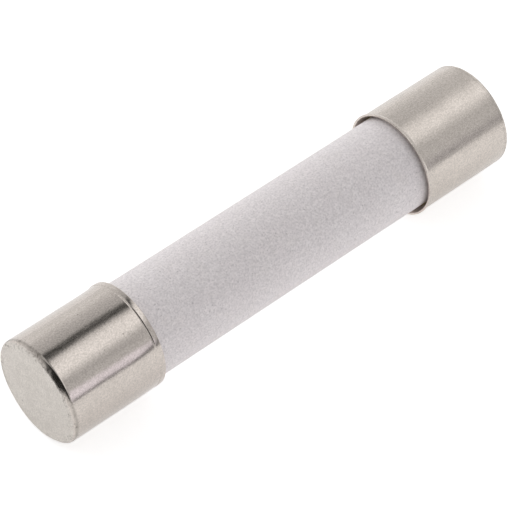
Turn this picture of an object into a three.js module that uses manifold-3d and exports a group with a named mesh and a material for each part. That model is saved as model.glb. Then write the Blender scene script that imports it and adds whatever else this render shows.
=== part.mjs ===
// A sand-filled ceramic cartridge fuse, 6.3 x 32 mm. Millimetres, +Z up, the fuse's axis along X
// and its middle at the origin. The front end is at -X and the rear end at +X.
import * as THREE from 'three';
import Module from 'manifold-3d';
import { mergeVertices } from 'three/addons/utils/BufferGeometryUtils.js';

// Facets round the axis. Pieces that nest closely share ROUND_FACETS, so that their flats line up.
const ROUND_FACETS = 60;
const SMALL_FACETS = 32;

const FUSE_LENGTH = 32;
const FUSE_HALF = FUSE_LENGTH / 2;
const FRONT = -1;
const REAR = 1;

// End caps: drawn cups. The front one is rolled at its corner and ends in a short step behind a
// shallow crease; the rear one has a tight corner and opens a little at its rim.
const CAP_RADIUS = 3.175;
const CAP_LENGTH = 6.3;
const CAP_WALL = 0.25;
const CAP_BASE = 0.3;
const CAP_BORE_RADIUS = CAP_RADIUS - CAP_WALL;
const CAP_CORNER_STEPS = 6;
const CAP_INNER_FILLET = 0.12;
const LIP_EDGE = 0.04;
const CREASE_RUN = 0.05;
const FRONT_CAP = {
  cornerRadius: 0.3,
  creaseDepth: 0.012,
  lipLength: 0.36,
  lipRise: 0.06,
  lipFlare: 0.03,
  mouthFlare: 0.04,
};
const REAR_CAP = {
  cornerRadius: 0.15,
  creaseDepth: 0,
  lipLength: 0.22,
  lipRise: 0.14,
  lipFlare: 0.06,
  mouthFlare: 0.17,
};

// Ceramic tube.
const TUBE_RADIUS = 2.87;
const TUBE_BORE_RADIUS = 2;
const TUBE_HALF = 15.2;
const TUBE_CHAMFER = 0.12;

// Cement films between each cap's skirt and the tube.
const CEMENT_GAP = 0.01;
const CEMENT_NEAR_MIDDLE = 10.3;
const CEMENT_NEAR_END = 14.6;

// Fibre washers on the tube's ends.
const WASHER_GAP = 0.02;
const WASHER_THICKNESS = 0.28;
const WASHER_RADIUS = 2.83;
const WASHER_HOLE_RADIUS = 0.6;

// Solder: a thin pool on each cap's base with a plug through the washer's hole.
const SOLDER_GAP = 0.02;
const SOLDER_RADIUS = 2.2;
const SOLDER_EDGE = 0.06;
const PLUG_RADIUS = 0.45;
const PLUG_TIP_RADIUS = 0.3;
const PLUG_SHOULDER = 15.1;
const PLUG_TIP = 15;

// Winding: a core, and a wire that coils round it and straightens towards both ends.
const CORE_RADIUS = 0.45;
const CORE_HALF = 13.6;
const CORE_CHAMFER = 0.08;
const WIRE_RADIUS = 0.1;
const WIRE_SIDES = 8;
const WIRE_STEPS = 290;
const WIRE_REACH = 15.55;
const WIRE_GAP = 0.01;
const COIL_RADIUS = 0.6;
const COIL_EVEN_HALF = 12;
const COIL_END = 13.6;
const COIL_TURNS_PER_HALF = 10;
const TAIL_BEND_START = 14;
const TAIL_BEND_END = 14.9;
const ARC_LENGTH_SAMPLES = 4000;

// Tin bead at mid-length, longer along the wire than across it.
const BEAD_RADIUS = 0.27;
const BEAD_STRETCH = 1.35;
const BEAD_GAP = 0.02;

// Quartz sand.
const SAND_RADIUS = 1.97;
const SAND_BORE_RADIUS = 0.74;
const SAND_HALF = 15.15;

const WELD_DISTANCE = 1e-4;

const nickel = { color: 0xc9c6bd, roughness: 0.28, metalness: 1 };
const whiteCeramic = { color: 0xe4e0e4, roughness: 0.75, metalness: 0 };
const cement = { color: 0xcdb98a, roughness: 0.6, metalness: 0 };
const fibre = { color: 0x8c6a4a, roughness: 0.85, metalness: 0 };
const solder = { color: 0xb9bcc0, roughness: 0.4, metalness: 1 };
const coreCeramic = { color: 0xd8d2c2, roughness: 0.8, metalness: 0 };
const copper = { color: 0xc47a4e, roughness: 0.3, metalness: 1 };
const tin = { color: 0xd2d4d6, roughness: 0.35, metalness: 1 };
const sand = { color: 0xd9ccb0, roughness: 0.95, metalness: 0 };

const wasm = await Module();
wasm.setup();

// Revolves [radius, x] points round X. A profile off the axis is closed on itself.
function revolve(profile, facets) {
  const points = profile.map(([radius, x]) => new THREE.Vector2(radius, x));
  if (THREE.ShapeUtils.isClockWise(points)) {
    points.reverse();
  }
  if (points[0].x > 0) {
    points.push(points[0].clone());
  }
  const halfFacet = Math.PI / facets;
  const geometry = new THREE.LatheGeometry(points, facets, halfFacet);
  geometry.rotateZ(-Math.PI / 2);
  return geometry;
}

// Turns depths measured from an end face into x positions at the front or the rear end.
function atEnd(side, profile) {
  return profile.map(([radius, depth]) => [radius, side * (FUSE_HALF - depth)]);
}

// Turns distances from the middle into x positions on one side.
function onSide(side, profile) {
  return profile.map(([radius, distance]) => [radius, side * distance]);
}

// Welds a geometry and drops the triangles that shrink to nothing on the axis.
function solidOf(geometry) {
  const bare = geometry.clone();
  bare.deleteAttribute('normal');
  bare.deleteAttribute('uv');
  const welded = mergeVertices(bare, WELD_DISTANCE);
  const corners = Array.from(welded.index.array);
  const kept = [];
  for (let i = 0; i < corners.length; i += 3) {
    const [a, b, c] = corners.slice(i, i + 3);
    if (a !== b && b !== c && c !== a) {
      kept.push(a, b, c);
    }
  }
  return new wasm.Manifold(new wasm.Mesh({
    numProp: 3,
    vertProperties: new Float32Array(welded.attributes.position.array),
    triVerts: new Uint32Array(kept),
  }));
}

function geometryOf(manifold) {
  const mesh = manifold.getMesh();
  const geometry = new THREE.BufferGeometry();
  geometry.setAttribute('position', new THREE.BufferAttribute(mesh.vertProperties, mesh.numProp));
  geometry.setIndex(new THREE.BufferAttribute(mesh.triVerts, 1));
  geometry.computeVertexNormals();
  return geometry;
}

function cut(geometry, ...cutters) {
  const start = solidOf(geometry);
  const left = cutters.reduce((body, cutter) => body.subtract(solidOf(cutter)), start);
  return geometryOf(left);
}

// The rounded edge between a cap's closed face and its skirt.
function capCorner(cornerRadius) {
  const arc = [];
  for (let i = 0; i <= CAP_CORNER_STEPS; i += 1) {
    const angle = (i / CAP_CORNER_STEPS) * (Math.PI / 2);
    const radius = CAP_RADIUS - cornerRadius * (1 - Math.sin(angle));
    arc.push([radius, cornerRadius * (1 - Math.cos(angle))]);
  }
  return arc;
}

function endCap(side, cap) {
  const crease = CAP_LENGTH - cap.lipLength;
  const lipRadius = CAP_RADIUS + cap.lipFlare;
  const profile = [
    [0, 0],
    ...capCorner(cap.cornerRadius),
    [CAP_RADIUS, crease - CREASE_RUN],
    [CAP_RADIUS - cap.creaseDepth, crease],
    [lipRadius, crease + cap.lipRise],
    [lipRadius, CAP_LENGTH - LIP_EDGE],
    [lipRadius - LIP_EDGE, CAP_LENGTH],
    [CAP_BORE_RADIUS + cap.mouthFlare, CAP_LENGTH],
    [CAP_BORE_RADIUS, crease],
    [CAP_BORE_RADIUS, CAP_BASE + CAP_INNER_FILLET],
    [CAP_BORE_RADIUS - CAP_INNER_FILLET, CAP_BASE],
    [0, CAP_BASE],
  ];
  return revolve(atEnd(side, profile), ROUND_FACETS);
}

function ceramicTube() {
  const outerEdge = TUBE_RADIUS - TUBE_CHAMFER;
  const boreEdge = TUBE_BORE_RADIUS + TUBE_CHAMFER;
  const chamferStart = TUBE_HALF - TUBE_CHAMFER;
  const rearHalf = [
    [TUBE_RADIUS, chamferStart],
    [outerEdge, TUBE_HALF],
    [boreEdge, TUBE_HALF],
    [TUBE_BORE_RADIUS, chamferStart],
  ];
  const frontHalf = onSide(FRONT, rearHalf).reverse();
  return revolve([...rearHalf, ...frontHalf], ROUND_FACETS);
}

function capCement(side) {
  const inner = TUBE_RADIUS + CEMENT_GAP;
  const outer = CAP_BORE_RADIUS - CEMENT_GAP;
  const profile = [
    [inner, CEMENT_NEAR_MIDDLE],
    [outer, CEMENT_NEAR_MIDDLE],
    [outer, CEMENT_NEAR_END],
    [inner, CEMENT_NEAR_END],
  ];
  return revolve(onSide(side, profile), ROUND_FACETS);
}

function washerOuterFace() {
  return TUBE_HALF + WASHER_GAP + WASHER_THICKNESS;
}

function sealingWasher(side) {
  const innerFace = TUBE_HALF + WASHER_GAP;
  const profile = [
    [WASHER_HOLE_RADIUS, innerFace],
    [WASHER_RADIUS, innerFace],
    [WASHER_RADIUS, washerOuterFace()],
    [WASHER_HOLE_RADIUS, washerOuterFace()],
  ];
  return revolve(onSide(side, profile), ROUND_FACETS);
}

function solderJoint(side) {
  const poolFace = FUSE_HALF - CAP_BASE - SOLDER_GAP;
  const poolFoot = washerOuterFace() + SOLDER_GAP;
  const profile = [
    [0, poolFace],
    [SOLDER_RADIUS, poolFace],
    [SOLDER_RADIUS + SOLDER_EDGE, poolFace - SOLDER_EDGE],
    [SOLDER_RADIUS - SOLDER_EDGE, poolFoot],
    [PLUG_RADIUS, poolFoot],
    [PLUG_RADIUS, PLUG_SHOULDER],
    [PLUG_TIP_RADIUS, PLUG_TIP],
    [0, PLUG_TIP],
  ];
  const joint = revolve(onSide(side, profile), SMALL_FACETS);
  return cut(joint, wireOfRadius(WIRE_RADIUS + WIRE_GAP, WIRE_REACH + WIRE_GAP));
}

function elementCore() {
  const edge = CORE_RADIUS - CORE_CHAMFER;
  const profile = [
    [0, -CORE_HALF],
    [edge, -CORE_HALF],
    [CORE_RADIUS, -CORE_HALF + CORE_CHAMFER],
    [CORE_RADIUS, CORE_HALF - CORE_CHAMFER],
    [edge, CORE_HALF],
    [0, CORE_HALF],
  ];
  return revolve(profile, SMALL_FACETS);
}

// The wire's centre line: even turns in the middle, turns that open out towards COIL_END, then a
// tail that bends in to the axis and runs into the solder.
class WirePath extends THREE.Curve {
  constructor(reach) {
    super();
    this.reach = reach;
    this.arcLengthDivisions = ARC_LENGTH_SAMPLES;
  }

  static turnsAt(distance) {
    const openRun = COIL_END - COIL_EVEN_HALF;
    const pitch = (COIL_EVEN_HALF + openRun / 2) / COIL_TURNS_PER_HALF;
    const opened = THREE.MathUtils.clamp(distance - COIL_EVEN_HALF, 0, openRun);
    const even = Math.min(distance, COIL_EVEN_HALF);
    return (even + opened - (opened * opened) / (2 * openRun)) / pitch;
  }

  getPoint(t, target = new THREE.Vector3()) {
    const x = (2 * t - 1) * this.reach;
    const distance = Math.abs(x);
    const angle = Math.sign(x) * 2 * Math.PI * WirePath.turnsAt(distance);
    const bend = THREE.MathUtils.smoothstep(distance, TAIL_BEND_START, TAIL_BEND_END);
    const radius = COIL_RADIUS * (1 - bend);
    return target.set(x, radius * Math.sin(angle), radius * Math.cos(angle));
  }
}

function wireOfRadius(radius, reach) {
  const section = new THREE.Shape();
  for (let i = 0; i < WIRE_SIDES; i += 1) {
    const angle = (i / WIRE_SIDES) * 2 * Math.PI;
    const corner = [radius * Math.cos(angle), radius * Math.sin(angle)];
    if (i === 0) {
      section.moveTo(...corner);
    } else {
      section.lineTo(...corner);
    }
  }
  section.closePath();
  return new THREE.ExtrudeGeometry(section, {
    steps: WIRE_STEPS,
    bevelEnabled: false,
    extrudePath: new WirePath(reach),
  });
}

function beadOfRadius(radius) {
  const bead = new THREE.SphereGeometry(radius, SMALL_FACETS / 2, SMALL_FACETS / 4);
  bead.scale(1, BEAD_STRETCH, 1);
  bead.translate(0, 0, COIL_RADIUS);
  return bead;
}

function tinBead() {
  const coreWithGap = revolve([
    [0, -CORE_HALF],
    [CORE_RADIUS + WIRE_GAP, -CORE_HALF],
    [CORE_RADIUS + WIRE_GAP, CORE_HALF],
    [0, CORE_HALF],
  ], SMALL_FACETS);
  const wireWithGap = wireOfRadius(WIRE_RADIUS + WIRE_GAP, WIRE_REACH);
  return cut(beadOfRadius(BEAD_RADIUS), coreWithGap, wireWithGap);
}

function quartzSand() {
  const filling = revolve([
    [SAND_BORE_RADIUS, -SAND_HALF],
    [SAND_RADIUS, -SAND_HALF],
    [SAND_RADIUS, SAND_HALF],
    [SAND_BORE_RADIUS, SAND_HALF],
  ], ROUND_FACETS);
  return cut(filling, beadOfRadius(BEAD_RADIUS + BEAD_GAP));
}

function piece(name, geometry, look) {
  const mesh = new THREE.Mesh(geometry, new THREE.MeshStandardMaterial(look));
  mesh.name = name;
  return mesh;
}

const fuse = new THREE.Group();
fuse.name = 'cartridge_fuse';
fuse.add(
  piece('ceramic_tube', ceramicTube(), whiteCeramic),
  piece('quartz_sand', quartzSand(), sand),
  piece('element_core', elementCore(), coreCeramic),
  piece('fuse_wire', wireOfRadius(WIRE_RADIUS, WIRE_REACH), copper),
  piece('tin_bead', tinBead(), tin),
);
for (const [end, side, cap] of [['front', FRONT, FRONT_CAP], ['rear', REAR, REAR_CAP]]) {
  fuse.add(
    piece(`end_cap_${end}`, endCap(side, cap), nickel),
    piece(`cap_cement_${end}`, capCement(side), cement),
    piece(`sealing_washer_${end}`, sealingWasher(side), fibre),
    piece(`solder_${end}`, solderJoint(side), solder),
  );
}

export default fuse;
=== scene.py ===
import math

import bmesh
import bpy
import numpy as np
from mathutils import Matrix, Vector, noise


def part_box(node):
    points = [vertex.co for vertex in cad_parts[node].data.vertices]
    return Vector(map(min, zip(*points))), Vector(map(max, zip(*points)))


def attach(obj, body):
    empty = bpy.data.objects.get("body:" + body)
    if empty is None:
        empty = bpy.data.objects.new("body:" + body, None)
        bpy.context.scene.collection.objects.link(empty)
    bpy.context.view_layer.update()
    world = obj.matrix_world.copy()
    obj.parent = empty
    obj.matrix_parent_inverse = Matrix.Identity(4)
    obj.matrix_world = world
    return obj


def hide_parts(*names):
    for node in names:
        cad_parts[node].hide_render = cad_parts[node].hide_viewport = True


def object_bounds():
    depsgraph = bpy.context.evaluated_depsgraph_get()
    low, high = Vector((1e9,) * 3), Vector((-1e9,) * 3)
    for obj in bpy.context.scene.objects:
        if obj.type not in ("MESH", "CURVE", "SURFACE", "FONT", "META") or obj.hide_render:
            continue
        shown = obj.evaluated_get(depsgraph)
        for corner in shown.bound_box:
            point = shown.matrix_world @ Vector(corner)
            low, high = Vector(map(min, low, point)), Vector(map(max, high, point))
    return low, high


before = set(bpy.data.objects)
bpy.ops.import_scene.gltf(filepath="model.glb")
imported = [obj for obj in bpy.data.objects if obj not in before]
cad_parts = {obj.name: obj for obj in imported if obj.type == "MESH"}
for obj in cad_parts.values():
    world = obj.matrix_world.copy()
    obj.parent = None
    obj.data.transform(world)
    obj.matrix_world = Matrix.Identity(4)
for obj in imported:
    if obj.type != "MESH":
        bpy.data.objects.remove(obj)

MM = 0.001
ROUND_SEGMENTS = 288

cad_low, cad_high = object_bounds()


# ---------------------------------------------------------------- frame

def x_range(node):
    low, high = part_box(node)
    return low.x, high.x


def node_radii(node):
    """Smallest and largest distance of the node's own corners from the fuse's axis."""
    radii = [math.hypot(v.co.y, v.co.z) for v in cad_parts[node].data.vertices]
    return min(radii), max(radii)


# ---------------------------------------------------------------- meshes

SHARP_DEGREES = 32


def finish_mesh(name, points, faces):
    """A smooth piece in the scene, with edges kept crisp where the faces meet at a clear angle."""
    mesh = bpy.data.meshes.new(name)
    mesh.from_pydata([tuple(p) for p in points], [], faces)
    work = bmesh.new()
    work.from_mesh(mesh)
    bmesh.ops.recalc_face_normals(work, faces=work.faces)
    work.to_mesh(mesh)
    work.free()
    mesh.polygons.foreach_set("use_smooth", [True] * len(mesh.polygons))
    mesh.set_sharp_from_angle(angle=math.radians(SHARP_DEGREES))
    mesh.update()
    piece = bpy.data.objects.new(name, mesh)
    bpy.context.scene.collection.objects.link(piece)
    return piece


def band_faces(a, b):
    """Faces between two rings of point numbers. A ring of one point is a tip on the axis."""
    faces = []
    for i in range(ROUND_SEGMENTS):
        j = (i + 1) % ROUND_SEGMENTS
        if len(a) == 1:
            faces.append((a[0], b[i], b[j]))
        elif len(b) == 1:
            faces.append((a[i], a[j], b[0]))
        else:
            faces.append((a[i], a[j], b[j], b[i]))
    return faces


def revolve(name, profile_at, shape=None):
    """Turns profiles of (radius, x) round the X axis. profile_at(angle) gives the profile at each angle,
    measured from straight up towards -Y, always with the same number of points. A profile off the axis
    closes on itself. shape(point) may move each point afterwards."""
    turns = [2 * math.pi * i / ROUND_SEGMENTS for i in range(ROUND_SEGMENTS)]
    profiles = [profile_at(turn) for turn in turns]
    rows = len(profiles[0])
    rings, points, faces = [], [], []
    for row in range(rows):
        if profiles[0][row][0] < 1e-9:
            rings.append([len(points)])
            points.append(Vector((profiles[0][row][1], 0, 0)))
            continue
        rings.append(list(range(len(points), len(points) + ROUND_SEGMENTS)))
        for turn, profile in zip(turns, profiles):
            radius, x = profile[row]
            points.append(Vector((x, -radius * math.sin(turn), radius * math.cos(turn))))
    pairs = list(zip(rings, rings[1:]))
    if len(rings[0]) > 1:
        pairs.append((rings[-1], rings[0]))
    for a, b in pairs:
        faces += band_faces(a, b)
    if shape:
        points = [shape(p) for p in points]
    return finish_mesh(name, points, faces)


def rounded(corners, radius, steps=5):
    """Replaces each inner corner of a profile by a small arc. The first and last points are kept."""
    out = [corners[0]]
    for before, corner, after in zip(corners, corners[1:], corners[2:]):
        p, c, n = (np.array(q, float) for q in (before, corner, after))
        reach = min(radius, 0.45 * np.linalg.norm(p - c), 0.45 * np.linalg.norm(n - c))
        start = c + (p - c) / np.linalg.norm(p - c) * reach
        end = c + (n - c) / np.linalg.norm(n - c) * reach
        for k in range(steps + 1):
            t = k / steps
            out.append(tuple((1 - t) ** 2 * start + 2 * t * (1 - t) * c + t * t * end))
    out.append(corners[-1])
    return out


def subdivided(profile, longest):
    """Adds points on long straight runs, so that no face is very long and thin."""
    out = [profile[0]]
    for a, b in zip(profile, profile[1:]):
        parts = max(1, math.ceil(math.dist(a, b) / longest))
        for k in range(1, parts + 1):
            t = k / parts
            out.append((a[0] + (b[0] - a[0]) * t, a[1] + (b[1] - a[1]) * t))
    return out


# ---------------------------------------------------------------- shader helpers

class Nodes:
    """A shader tree with short ways to add nodes to it."""

    def __init__(self, tree):
        self.tree = tree

    def add(self, kind, **settings):
        node = self.tree.nodes.new(kind)
        for key, value in settings.items():
            setattr(node, key, value)
        return node

    def link(self, source, target):
        self.tree.links.new(source, target)

    def feed(self, socket, value):
        """Gives a socket a number, a colour or another node's output."""
        if isinstance(value, (int, float)):
            socket.default_value = value
        elif isinstance(value, tuple):
            socket.default_value = (*value, 1.0)
        else:
            self.link(value, socket)

    def maths(self, operation, a, b=0.0):
        node = self.add("ShaderNodeMath", operation=operation)
        for socket, value in zip(node.inputs, (a, b)):
            self.feed(socket, value)
        return node.outputs[0]

    def mix(self, factor, a, b):
        node = self.add("ShaderNodeMix", data_type="RGBA")
        sockets = [socket for socket in node.inputs if socket.enabled]
        for socket, value in zip(sockets, (factor, a, b)):
            self.feed(socket, value)
        return next(socket for socket in node.outputs if socket.enabled)

    def span(self, value, low, high, to_low=0.0, to_high=1.0, smooth=False):
        """Maps low..high to to_low..to_high, and stays at those values outside."""
        node = self.add("ShaderNodeMapRange", interpolation_type="SMOOTHSTEP" if smooth else "LINEAR")
        for key, number in (("From Min", low), ("From Max", high), ("To Min", to_low), ("To Max", to_high)):
            node.inputs[key].default_value = number
        self.link(value, node.inputs["Value"])
        return node.outputs["Result"]


class Paint(Nodes):
    """A material with a Principled shader, and textures sized in millimetres."""

    def __init__(self, name, **constants):
        self.material = bpy.data.materials.new(name)
        self.material.use_nodes = True
        super().__init__(self.material.node_tree)
        self.shader = self.tree.nodes["Principled BSDF"]
        for key, value in constants.items():
            self.shader.inputs[key.replace("_", " ").title().replace("Ior", "IOR")].default_value = value
        place = self.add("ShaderNodeTexCoord")
        scale = self.add("ShaderNodeMapping")
        scale.inputs["Scale"].default_value = (1 / MM, 1 / MM, 1 / MM)
        self.link(place.outputs["Object"], scale.inputs["Vector"])
        self.mm = scale.outputs["Vector"]

    def stretched(self, scale):
        node = self.add("ShaderNodeMapping")
        node.inputs["Scale"].default_value = scale
        self.link(self.mm, node.inputs["Vector"])
        return node.outputs["Vector"]

    def noise(self, per_mm, detail=4.0, rough=0.55, vector=None, distortion=0.0):
        node = self.add("ShaderNodeTexNoise")
        node.inputs["Scale"].default_value = per_mm
        node.inputs["Detail"].default_value = detail
        node.inputs["Roughness"].default_value = rough
        node.inputs["Distortion"].default_value = distortion
        self.link(vector or self.mm, node.inputs["Vector"])
        return node.outputs["Fac"]

    def cells(self, per_mm, feature="F1", output="Distance"):
        node = self.add("ShaderNodeTexVoronoi", feature=feature)
        node.inputs["Scale"].default_value = per_mm
        self.link(self.mm, node.inputs["Vector"])
        return node.outputs[output]

    def bump(self, height, depth_mm, normal=None):
        node = self.add("ShaderNodeBump")
        node.inputs["Strength"].default_value = 1.0
        node.inputs["Distance"].default_value = depth_mm * MM
        self.link(height, node.inputs["Height"])
        if normal:
            self.link(normal, node.inputs["Normal"])
        return node.outputs["Normal"]

    def set(self, socket, value):
        self.link(value, self.shader.inputs[socket])


# ---------------------------------------------------------------- materials

DULL_NICKEL = (0.36, 0.33, 0.30)
CLOUDED_NICKEL = (0.40, 0.36, 0.33)
SATIN_NICKEL = (0.885, 0.835, 0.780)
# Painted shade: the dark colour laid in a ring round a cap's corner, in place of a dark reflection there.
PAINTED_CORNER_SHADE = (0.34, 0.31, 0.28)
PIT = (0.2, 0.18, 0.16)
BARE_SPECK = (0.16, 0.14, 0.12)

# Depth from the closed face, in millimetres, of the ring of painted shade.
PAINTED_SHADE_DEPTH = 0.22


def plate_grain(paint, base, clouds, grains, end):
    """Soft clouds and an even grain all over, and blotches on the closed end."""
    frost = paint.noise(11.0, detail=2, rough=0.6)
    base = paint.mix(paint.span(clouds, 0.35, 0.65, 0.0, 0.08), base, CLOUDED_NICKEL)
    base = paint.mix(paint.span(grains, 0.35, 0.7, 0.0, 0.16), base, DULL_NICKEL)
    base = paint.mix(paint.span(frost, 0.3, 0.7, 0.0, 0.50), base, DULL_NICKEL)
    blotches = paint.span(paint.noise(2.6, detail=4, rough=0.7), 0.35, 0.65)
    blotches = paint.maths("MULTIPLY", blotches, end)
    return paint.mix(paint.maths("MULTIPLY", blotches, 0.22), base, DULL_NICKEL)


def plate_pits(paint, base, pitting):
    """Scattered pits of different sizes."""
    reach = paint.span(paint.noise(1.4, detail=1), 0.5, 0.75, 0.0, 0.16)
    pits = paint.maths("LESS_THAN", paint.cells(2.1), reach)
    return paint.mix(paint.maths("MULTIPLY", pits, pitting), base, PIT)


def corner_mask(paint, from_face, place):
    """1 along a cap's corner, 0 on the skirt and towards the middle of the closed face. Distances from
    the axis and from the face are in millimetres."""
    y, z = (paint.maths("POWER", place.outputs[axis], 2.0) for axis in ("Y", "Z"))
    radius = paint.maths("SQRT", paint.maths("ADD", y, z))
    outer = paint.span(radius, 2.65, 2.95)
    return paint.maths("MULTIPLY", outer, paint.span(from_face, 0.2, 0.5, 1.0, 0.0))


def plate_wear_and_shade(paint, base, from_face, place, wear_and_shade):
    """Painted shade where the corner meets the skirt, a dark ring standing in for a dark reflection, and
    specks of worn plating along the corner.
    """
    from_ring = paint.maths("ABSOLUTE", paint.maths("SUBTRACT", from_face, PAINTED_SHADE_DEPTH))
    patchy = paint.noise(1.6, detail=4, rough=0.7)
    # Painted shade: darkens the colour in a patchy ring round the corner, standing in for a dark
    # reflection.
    ring = paint.span(from_ring, 0.03, 0.13, 1.0, 0.0)
    ring = paint.maths("MULTIPLY", ring, paint.span(patchy, 0.3, 0.6, 0.35, 1.0))
    base = paint.mix(paint.maths("MULTIPLY", ring, wear_and_shade * 0.88), base, PAINTED_CORNER_SHADE)
    flakes = paint.span(paint.noise(6.0, detail=3, rough=0.7), 0.50, 0.60)
    flaked = paint.maths("MULTIPLY", flakes, paint.span(patchy, 0.44, 0.56))
    flaked = paint.maths("MULTIPLY", flaked, corner_mask(paint, from_face, place))
    return paint.mix(paint.maths("MULTIPLY", flaked, wear_and_shade * 0.75), base, BARE_SPECK)


def nickel_plate(name, face_x, tone, roughness, grain, pitting, wear_and_shade):
    """Nickel over drawn brass: bright on the skirt, satin on the closed end, with an even grain, fine
    rubbing marks along the skirt, a few pits, and a ring of painted shade round the corner."""
    paint = Paint(name, metallic=1.0)
    place = paint.add("ShaderNodeSeparateXYZ")
    paint.link(paint.mm, place.inputs[0])
    from_face = paint.maths("ABSOLUTE", paint.maths("SUBTRACT", place.outputs["X"], face_x / MM))
    end = paint.span(from_face, 0.03, 0.09, 1.0, 0.0)
    clouds = paint.noise(0.9, detail=3)
    grains = paint.noise(6.0, detail=3, rough=0.6)
    rubs = paint.noise(3.0, detail=3, vector=paint.stretched((0.5, 4.0, 4.0)))

    base = plate_grain(paint, paint.mix(end, tone, SATIN_NICKEL), clouds, grains, end)
    base = plate_pits(paint, base, pitting)
    paint.set("Base Color", plate_wear_and_shade(paint, base, from_face, place, wear_and_shade))

    rough = paint.span(clouds, 0.3, 0.7, roughness * 0.9, roughness * 1.12)
    rough = paint.maths("ADD", rough, paint.span(rubs, 0.45, 0.75, 0.0, 0.04))
    paint.set("Roughness", paint.maths("ADD", rough, paint.maths("MULTIPLY", end, 0.30)))

    normal = paint.bump(grains, grain)
    normal = paint.bump(rubs, grain * 0.35, normal=normal)
    normal = paint.bump(paint.maths("MULTIPLY", grains, end), 0.004, normal=normal)
    paint.set("Normal", normal)
    return paint.material


def tube_ceramic():
    """Unglazed white ceramic with a faint pinkish cast, a fine grain and small dark specks."""
    paint = Paint("tube_ceramic", roughness=0.5, ior=1.5)
    clouds = paint.noise(0.35, detail=3)
    fine = paint.noise(9.5, detail=3, rough=0.6)
    reach = paint.span(paint.noise(2.6, detail=2), 0.40, 0.72, 0.04, 0.24)
    specks = paint.maths("LESS_THAN", paint.cells(4.6), reach)
    mottle = paint.span(paint.noise(5.0, detail=2), 0.35, 0.65, 0.0, 0.35)
    warm = paint.maths("MULTIPLY", paint.span(paint.noise(0.8, detail=2), 0.55, 0.7), 0.06)
    base = paint.mix(paint.span(clouds, 0.35, 0.65), (0.985, 0.924, 0.928), (0.995, 0.944, 0.948))
    base = paint.mix(paint.span(fine, 0.38, 0.7, 0.0, 0.84), base, (0.63, 0.588, 0.596))
    base = paint.mix(mottle, base, (0.70, 0.655, 0.665))
    base = paint.mix(paint.maths("MULTIPLY", specks, 0.42), base, (0.36, 0.32, 0.33))
    base = paint.mix(warm, base, (0.80, 0.74, 0.66))
    paint.set("Base Color", base)
    paint.set("Roughness", paint.span(fine, 0.3, 0.7, 0.42, 0.55))
    paint.set("Normal", paint.bump(fine, 0.004))
    return paint.material


def cement_paint():
    """Tan cement, slightly lumpy."""
    paint = Paint("cement", roughness=0.6)
    lumps = paint.noise(2.0, detail=4)
    base = paint.mix(paint.span(lumps, 0.3, 0.7), (0.56, 0.44, 0.24), (0.72, 0.6, 0.38))
    paint.set("Base Color", base)
    paint.set("Normal", paint.bump(lumps, 0.02))
    return paint.material


def fibre_paint():
    """Brown pressed fibre."""
    paint = Paint("washer_fibre", roughness=0.85)
    strands = paint.noise(5.0, detail=5, vector=paint.stretched((2.0, 0.6, 3.0)), distortion=1.5)
    base = paint.mix(paint.span(strands, 0.3, 0.7), (0.17, 0.09, 0.05), (0.36, 0.23, 0.14))
    paint.set("Base Color", base)
    paint.set("Normal", paint.bump(strands, 0.02))
    return paint.material


def soft_metal(name, tone, roughness):
    """Solder or tin: frosted, with faint crystal edges."""
    paint = Paint(name, metallic=1.0)
    frost = paint.noise(3.5, detail=4)
    crystals = paint.cells(4.0, feature="DISTANCE_TO_EDGE")
    base = paint.mix(paint.span(frost, 0.3, 0.7), tuple(c * 0.85 for c in tone), tone)
    paint.set("Base Color", base)
    paint.set("Roughness", paint.span(frost, 0.3, 0.7, roughness * 0.8, roughness * 1.3))
    paint.set("Normal", paint.bump(paint.span(crystals, 0.0, 0.12), 0.004))
    return paint.material


def wire_copper():
    """Drawn copper with fine lines along it."""
    paint = Paint("wire_copper", metallic=1.0)
    lines = paint.noise(12.0, detail=3, vector=paint.stretched((0.4, 1.5, 1.5)))
    base = paint.mix(paint.span(lines, 0.3, 0.7), (0.62, 0.27, 0.13), (0.80, 0.42, 0.24))
    paint.set("Base Color", base)
    paint.set("Roughness", paint.span(lines, 0.3, 0.7, 0.22, 0.4))
    paint.set("Normal", paint.bump(lines, 0.002))
    return paint.material


def core_ceramic():
    """Gritty cream ceramic."""
    paint = Paint("core_ceramic", roughness=0.8)
    grit = paint.noise(8.0, detail=4)
    base = paint.mix(paint.span(grit, 0.3, 0.7), (0.58, 0.54, 0.46), (0.72, 0.69, 0.6))
    paint.set("Base Color", base)
    paint.set("Normal", paint.bump(grit, 0.008))
    return paint.material


def sand_paint():
    """Quartz grains about a fifth of a millimetre across."""
    paint = Paint("quartz_sand", roughness=0.7)
    tint = paint.cells(5.0, output="Color")
    edge = paint.cells(5.0, feature="DISTANCE_TO_EDGE")
    grain = paint.span(edge, 0.0, 0.12)
    tone = paint.add("ShaderNodeSeparateColor")
    paint.link(tint, tone.inputs[0])
    base = paint.mix(tone.outputs[0], (0.52, 0.42, 0.27), (0.82, 0.76, 0.64))
    base = paint.mix(grain, (0.3, 0.23, 0.14), base)
    paint.set("Base Color", base)
    paint.set("Roughness", paint.span(tone.outputs[1], 0.0, 1.0, 0.35, 0.85))
    paint.set("Normal", paint.bump(grain, 0.06))
    return paint.material


# ---------------------------------------------------------------- pieces

CAP_WALL = 0.25 * MM
CAP_BASE = 0.3 * MM
INNER_FILLET = 0.15 * MM
SHORT_RUN = 0.02 * MM
FACE_STEPS = 24
SKIRT_STEPS = 36
CORNER_STEPS = 7

# A leaning rim: which way it leans, where the lean starts from the open end, and over what length it grows.
LEAN_TURN = math.radians(54)
LEAN_START = 1.5 * MM
LEAN_RUN = 1.3 * MM
# How far down the skirt knocks reach.
KNOCK_DEPTH = 0.4 * MM


def lip_sizes(**sizes_mm):
    return {name: size * MM for name, size in sizes_mm.items()}


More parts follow.
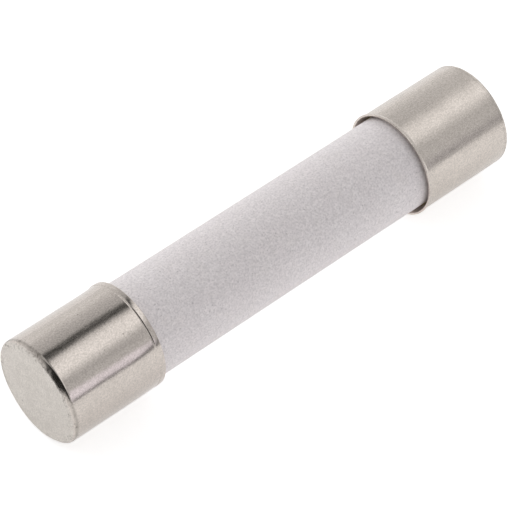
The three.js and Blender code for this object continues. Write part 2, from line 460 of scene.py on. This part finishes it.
# A cap's open end, in millimetres. length: from the crease to the end. flare: how far the lip stands out
# past the skirt. crease: depth of the crease. rise: length of the slope up from the crease. mouth: how far
# the end is opened inside. taper: length of that opening. edge: rounding of the end's edges.
FRONT_LIP = lip_sizes(length=0.35, flare=0.03, crease=0.010, rise=0.05, mouth=0.04, taper=0.2, edge=0.035)
REAR_LIP = lip_sizes(length=0.20, flare=0.06, crease=0.0, rise=0.14, mouth=0.19, taper=0.3, edge=0.03)

# Turns of a corner from the closed face to the skirt: (slope at the start, slope at the end, length), in
# degrees and millimetres.
TIGHT_FRONT = ((0, 2, 0.18), (2, 4, 0.12), (4, 40, 0.12), (40, 72, 0.14), (72, 90, 0.09))
WORN_FRONT = ((0, 7, 0.22), (7, 38, 0.05), (38, 43, 0.31), (43, 75, 0.08), (75, 90, 0.06))
TIGHT_REAR = ((0, 4, 0.30), (4, 36, 0.06), (36, 68, 0.07), (68, 90, 0.06))


def corner(turns, radius):
    """Points of a rolled corner that reaches the skirt's radius, in metres."""
    points = [(0.0, 0.0)]
    for first, last, length in turns:
        run = length / CORNER_STEPS * MM
        for k in range(CORNER_STEPS):
            slope = math.radians(first + (last - first) * (k + 0.5) / CORNER_STEPS)
            r, d = points[-1]
            points.append((r + run * math.cos(slope), d + run * math.sin(slope)))
    reach = points[-1][0]
    return [(radius - reach + r, d) for r, d in points]


def blended(first, second, share):
    return [(a[0] + (b[0] - a[0]) * share, a[1] + (b[1] - a[1]) * share) for a, b in zip(first, second)]


def bell(angle, centre, width):
    """1 at the centre, falling to 0 away from it. Degrees."""
    away = (math.degrees(angle) - centre + 180) % 360 - 180
    return math.exp(-((away / width) ** 2))


def front_edge(turn, radius):
    """The front cap's corner, worn rounder towards the top front and, less so, the bottom front."""
    worn = min(1.0, 1.1 * bell(turn, 36, 40) + 0.5 * bell(turn, 152, 24))
    return blended(corner(TIGHT_FRONT, radius), corner(WORN_FRONT, radius), worn)


def rear_edge(turn, radius):
    """The rear cap's corner, the same all round."""
    return corner(TIGHT_REAR, radius)


def cap_profile(lip, edge_points, radius, length):
    """Half section of a cap: radius against depth from its closed face."""
    bore = radius - CAP_WALL
    crease = length - lip["length"]
    lip_radius = radius + lip["flare"]
    skirt_start = edge_points[-1][1] + SHORT_RUN
    skirt_run = crease - 0.1 * MM - skirt_start
    skirt = [(radius, skirt_start + skirt_run * k / SKIRT_STEPS) for k in range(SKIRT_STEPS + 1)]
    mouth = rounded([
        (lip_radius, crease + lip["rise"] + SHORT_RUN),
        (lip_radius, length),
        (bore + lip["mouth"], length),
        (bore + lip["mouth"] * 0.3, length - lip["taper"]),
    ], lip["edge"])
    rim = rounded([
        (radius, crease - 0.08 * MM),
        (radius, crease - 0.04 * MM),
        (radius - lip["crease"], crease),
        (lip_radius, crease + lip["rise"]),
        mouth[0],
    ], SHORT_RUN)
    inside = rounded([
        (bore, length - lip["taper"] * 2),
        (bore, CAP_BASE),
        (bore - 0.6 * MM, CAP_BASE),
    ], INNER_FILLET)
    face = [(edge_points[0][0] * k / FACE_STEPS, 0.0) for k in range(FACE_STEPS)]
    return [*face, *edge_points, *skirt, *rim, *mouth[1:], *inside, (0.0, CAP_BASE)]


def knocks_and_waves(side, face, radius, knock_size, wave_size, seed):
    """Moves a cap's points: small knocks along the corner and slow waves all over."""
    def move(p):
        flat = math.hypot(p.y, p.z)
        if flat < 1e-6:
            return p
        out = Vector((0, p.y, p.z)) / flat
        here = p / MM + Vector((0, 0, seed))
        depth = abs(p.x - face)
        near_edge = min(1.0, max(0.0, (flat / radius - 0.78) / 0.16))
        by_corner = math.exp(-((depth / KNOCK_DEPTH) ** 2)) * near_edge
        knocks = (noise.noise(here * 1.7) + 0.5 * noise.noise(here * 3.9) - 0.35) * knock_size * by_corner
        wave = (noise.noise(here * 0.5) - 0.4) * wave_size
        return p + out * (knocks + wave) + Vector((-side, 0, 0)) * abs(knocks) * 0.5
    return move


def cap_piece(name, node, lip, edge_at, lean, knock_size, wave_size, seed):
    """A cap with the node's own radius and ends. lean is how far its rim sits off centre."""
    low, high = x_range(node)
    length = high - low
    side = -1 if low + high < 0 else 1
    face = low if side < 0 else high
    radius = node_radii(node)[1] - lip["flare"]

    def profile_at(turn):
        shift = lean * math.cos(turn + LEAN_TURN)
        section = []
        for r, d in cap_profile(lip, edge_at(turn, radius), radius, length):
            near_rim = min(1.0, max(0.0, (d - length + LEAN_START) / LEAN_RUN))
            section.append((r + shift * near_rim ** 2, face - side * d))
        return section

    move = knocks_and_waves(side, face, radius, knock_size, wave_size, seed)
    return revolve(name, profile_at, move)


def tube_piece(name, node, edge, longest):
    """A tube with the node's own radii and ends, and rounded edges."""
    x0, x1 = x_range(node)
    inner, outer = node_radii(node)
    middle = (x0 + x1) / 2
    loop = subdivided(rounded([
        (outer, middle), (outer, x1), (inner, x1), (inner, x0), (outer, x0), (outer, middle - 1e-6),
    ], edge), longest)
    return revolve(name, lambda turn: loop)


tube = tube_piece("tube_body", "ceramic_tube", edge=0.14 * MM, longest=0.5 * MM)
front_cap = cap_piece(
    "front_cap_shell", "end_cap_front", FRONT_LIP, front_edge,
    lean=0.045 * MM, knock_size=0.009 * MM, wave_size=0.005 * MM, seed=3.0,
)
rear_cap = cap_piece(
    "rear_cap_shell", "end_cap_rear", REAR_LIP, rear_edge,
    lean=0.0, knock_size=0.006 * MM, wave_size=0.005 * MM, seed=11.0,
)

# wear sets both the worn specks and how strong the painted shade ring at each cap's corner is.
front_nickel = nickel_plate(
    "cap_nickel_front", cad_low.x, (0.765, 0.695, 0.642),
    roughness=0.13, grain=0.0016, pitting=0.45, wear_and_shade=1.0,
)
rear_nickel = nickel_plate(
    "cap_nickel_rear", cad_high.x, (0.815, 0.744, 0.684),
    roughness=0.23, grain=0.0022, pitting=0.12, wear_and_shade=0.25,
)

for piece, node, paint, slot in (
    (tube, "ceramic_tube", tube_ceramic(), "tube_ceramic"),
    (front_cap, "end_cap_front", front_nickel, "cap_nickel"),
    (rear_cap, "end_cap_rear", rear_nickel, "cap_nickel"),
):
    piece.data.materials.append(paint)
    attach(piece, "root")
    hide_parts(node)

SOLDER_TONE = (0.62, 0.63, 0.65)
TIN_TONE = (0.72, 0.73, 0.75)

INNER_PAINT = {
    "cap_cement_front": (cement_paint(), "cement"),
    "cap_cement_rear": (cement_paint(), "cement"),
    "sealing_washer_front": (fibre_paint(), "washer_fibre"),
    "sealing_washer_rear": (fibre_paint(), "washer_fibre"),
    "solder_front": (soft_metal("solder", SOLDER_TONE, 0.35), "solder"),
    "solder_rear": (soft_metal("solder", SOLDER_TONE, 0.35), "solder"),
    "element_core": (core_ceramic(), "core_ceramic"),
    "fuse_wire": (wire_copper(), "wire_copper"),
    "tin_bead": (soft_metal("tin", TIN_TONE, 0.3), "tin"),
    "quartz_sand": (sand_paint(), "quartz_sand"),
}
for node, (paint, slot) in INNER_PAINT.items():
    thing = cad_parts[node]
    thing.data.materials.clear()
    thing.data.materials.append(paint)


# ---------------------------------------------------------------- floor, light, camera

FLOOR_RADIUS = 3.0
FLOOR_SIDES = 96
FLOOR_GLOW, FLOOR_GLOW_SEEN = 0.43, 0.66


def round_floor(radius, z):
    angles = [2 * math.pi * i / FLOOR_SIDES for i in range(FLOOR_SIDES)]
    points = [(radius * math.cos(angle), radius * math.sin(angle), z) for angle in angles]
    mesh = bpy.data.meshes.new("studio_floor")
    mesh.from_pydata(points, [], [tuple(range(FLOOR_SIDES))])
    floor = bpy.data.objects.new("studio_floor", mesh)
    bpy.context.scene.collection.objects.link(floor)
    return floor


def floor_paint():
    paint = Paint("floor_white", roughness=0.9)
    paper = paint.noise(0.5, detail=3)
    base = paint.mix(paint.span(paper, 0.3, 0.7), (0.74, 0.74, 0.74), (0.76, 0.76, 0.76))
    paint.set("Base Color", base)
    paint.shader.inputs["Specular IOR Level"].default_value = 0.2
    paint.shader.inputs["Emission Color"].default_value = (1, 1, 1, 1)
    # A little brighter to the eye than in reflections, so that the fuse stands on plain white.
    seen = paint.add("ShaderNodeLightPath").outputs["Is Camera Ray"]
    paint.set("Emission Strength", paint.span(seen, 0.0, 1.0, FLOOR_GLOW, FLOOR_GLOW_SEEN))
    return paint.material


floor = round_floor(FLOOR_RADIUS, cad_low.z)
floor.data.materials.append(floor_paint())


# Brightness of the ceiling and walls against the lean to the right, from the left side to the right.
CEILING = (
    (-1.0, 0.70), (-0.5, 0.70), (-0.3, 0.62), (-0.12, 0.53), (0.10, 0.57), (0.15, 0.92), (0.22, 1.10),
    (0.46, 1.14), (0.58, 0.92), (0.74, 0.66), (0.95, 0.55), (1.5, 0.64), (2.7, 0.62), (4.0, 0.52),
)
BLUISH_PATCH = (1.08, 1.04, 1.13)
STUDIO_DARK = (0.035, 0.035, 0.033)
PALE_WALL = (0.95, 0.95, 0.95)


class Sky(Nodes):
    """The world's shader, which works on the direction looked in."""

    def __init__(self, name):
        world = bpy.data.worlds.new(name)
        bpy.context.scene.world = world
        world.use_nodes = True
        super().__init__(world.node_tree)
        self.background = self.tree.nodes["Background"]
        self.direction = self.add("ShaderNodeTexCoord").outputs["Generated"]

    def dot(self, vector):
        node = self.add("ShaderNodeVectorMath", operation="DOT_PRODUCT")
        self.link(self.direction, node.inputs[0])
        node.inputs[1].default_value = vector
        return node.outputs["Value"]

    def fade(self, value, low, high, to_low=0.0, to_high=1.0):
        return self.span(value, low, high, to_low, to_high, smooth=True)

    def cone(self, direction, inner, outer):
        """1 within the inner angle of a direction, 0 beyond the outer one. Degrees."""
        unit = Vector(direction).normalized()
        return self.fade(self.dot(unit), *(math.cos(math.radians(angle)) for angle in (outer, inner)))

    def ramp(self, value, stops):
        """Grey levels against a value, as (value, level) pairs in order."""
        node = self.add("ShaderNodeValToRGB")
        low, high = stops[0][0], stops[-1][0]
        elements = node.color_ramp.elements
        elements[0].position, elements[1].position = 0.0, 1.0
        for at, _ in stops[1:-1]:
            elements.new((at - low) / (high - low))
        for element, (_, level) in zip(sorted(elements, key=lambda e: e.position), stops):
            element.color = (level, level, level, 1)
        self.link(self.span(value, low, high), node.inputs["Fac"])
        return node.outputs["Color"]


def studio_world():
    """A white studio: a strip softbox overhead, a dark gap beside it, pale walls, and the dark side
    where the photographer stands."""
    sky = Sky("studio")
    # How far a direction leans to the camera's right and away from it, for each unit that it rises.
    up = sky.maths("MAXIMUM", sky.dot((0, 0, 1)), 0.03)
    across = sky.maths("DIVIDE", sky.dot((0.842, -0.540, -0.216)), up)
    along = sky.maths("DIVIDE", sky.dot((0.540, 0.842, 0.0)), up)
    # A low, bluish light patch at the front right.
    patch = sky.cone((0.28, -0.941, 0.19), 7, 14)
    light = sky.mix(patch, sky.ramp(across, CEILING), BLUISH_PATCH)

    # The gap between the softbox and the left wall, which closes with distance.
    off_gap = sky.maths("ABSOLUTE", sky.maths("SUBTRACT", across, 0.01))
    gap = sky.fade(off_gap, 0.05, 0.10, 1.0, 0.0)
    gap = sky.maths("MULTIPLY", gap, sky.fade(along, 0.50, 1.00, 1.0, 0.0))
    gap = sky.maths("MULTIPLY", gap, sky.fade(along, -0.25, 0.05))
    # The photographer's side, down to the floor.
    shade = sky.cone((-0.77, -0.43, 0.47), 27, 41)
    shade = sky.maths("MAXIMUM", shade, sky.cone((-0.93, -0.33, 0.16), 21, 29))
    # The edge of the table, low in front, and a dimmer spot at its right end.
    edge = sky.maths("ABSOLUTE", sky.dot((-0.5672, -0.2106, 0.7962)))
    edge = sky.fade(edge, 0.025, 0.06, 0.75, 0.0)
    edge = sky.maths("MULTIPLY", edge, sky.fade(sky.dot((0, -1, 0)), 0.6, 0.8))
    dim = sky.maths("MULTIPLY", sky.cone((0.58, -0.81, 0.06), 6, 14), 0.14)
    dark = sky.maths("MAXIMUM", sky.maths("MAXIMUM", gap, shade), sky.maths("MAXIMUM", edge, dim))
    light = sky.mix(dark, light, STUDIO_DARK)

    # Seen directly, beyond the floor's edge, the studio is a plain pale wall.
    seen = sky.add("ShaderNodeLightPath").outputs["Is Camera Ray"]
    sky.link(sky.mix(seen, light, PALE_WALL), sky.background.inputs["Color"])
    sky.link(sky.span(along, 0.8, 2.6, 1.0, 1.25), sky.background.inputs["Strength"])


studio_world()


SOFTBOX_SIZE = 0.35
SOFTBOX_DISTANCE = 0.5
SOFTBOX_STRENGTH = 1.38


def back_light():
    """One large softbox behind the fuse, to its left."""
    data = bpy.data.lights.new("back_softbox", "AREA")
    data.shape = "SQUARE"
    data.size = SOFTBOX_SIZE
    data.energy = math.pi * data.size ** 2 * SOFTBOX_STRENGTH
    lamp = bpy.data.objects.new("back_softbox", data)
    lamp.visible_glossy = False
    direction = Vector((-0.35, 0.74, 0.58)).normalized()
    lamp.location = direction * SOFTBOX_DISTANCE
    lamp.rotation_mode = "QUATERNION"
    lamp.rotation_quaternion = direction.to_track_quat("Z", "Y")
    bpy.context.scene.collection.objects.link(lamp)


back_light()

# Where the camera stands, seen from the fuse's middle. Degrees, millimetres and the lens in millimetres.
CAMERA_AZIMUTH, CAMERA_ELEVATION, CAMERA_ROLL = -41.4, 46.3, -0.4
CAMERA_BACK, CAMERA_RIGHT, CAMERA_UP = 154, -0.425, -0.43
CAMERA_LENS = 196.85


def make_camera():
    azimuth, elevation, roll = (
        math.radians(angle) for angle in (CAMERA_AZIMUTH, CAMERA_ELEVATION, CAMERA_ROLL)
    )
    back = Vector((
        math.sin(azimuth) * math.cos(elevation),
        -math.cos(azimuth) * math.cos(elevation),
        math.sin(elevation),
    ))
    level_right = (-back).cross(Vector((0, 0, 1))).normalized()
    level_up = level_right.cross(-back)
    right = level_right * math.cos(roll) + level_up * math.sin(roll)
    up = level_up * math.cos(roll) - level_right * math.sin(roll)
    middle = (cad_low + cad_high) / 2
    place = middle + (back * CAMERA_BACK + right * CAMERA_RIGHT + up * CAMERA_UP) * MM
    data = bpy.data.cameras.new("camera")
    data.sensor_width = 36
    data.lens = CAMERA_LENS
    data.clip_start = 0.01
    data.clip_end = 20
    camera = bpy.data.objects.new("camera", data)
    bpy.context.scene.collection.objects.link(camera)
    turn = Matrix((right, up, back)).transposed().to_4x4()
    camera.matrix_world = Matrix.Translation(place) @ turn
    bpy.context.scene.camera = camera


make_camera()
bpy.context.scene.view_settings.view_transform = "Standard"
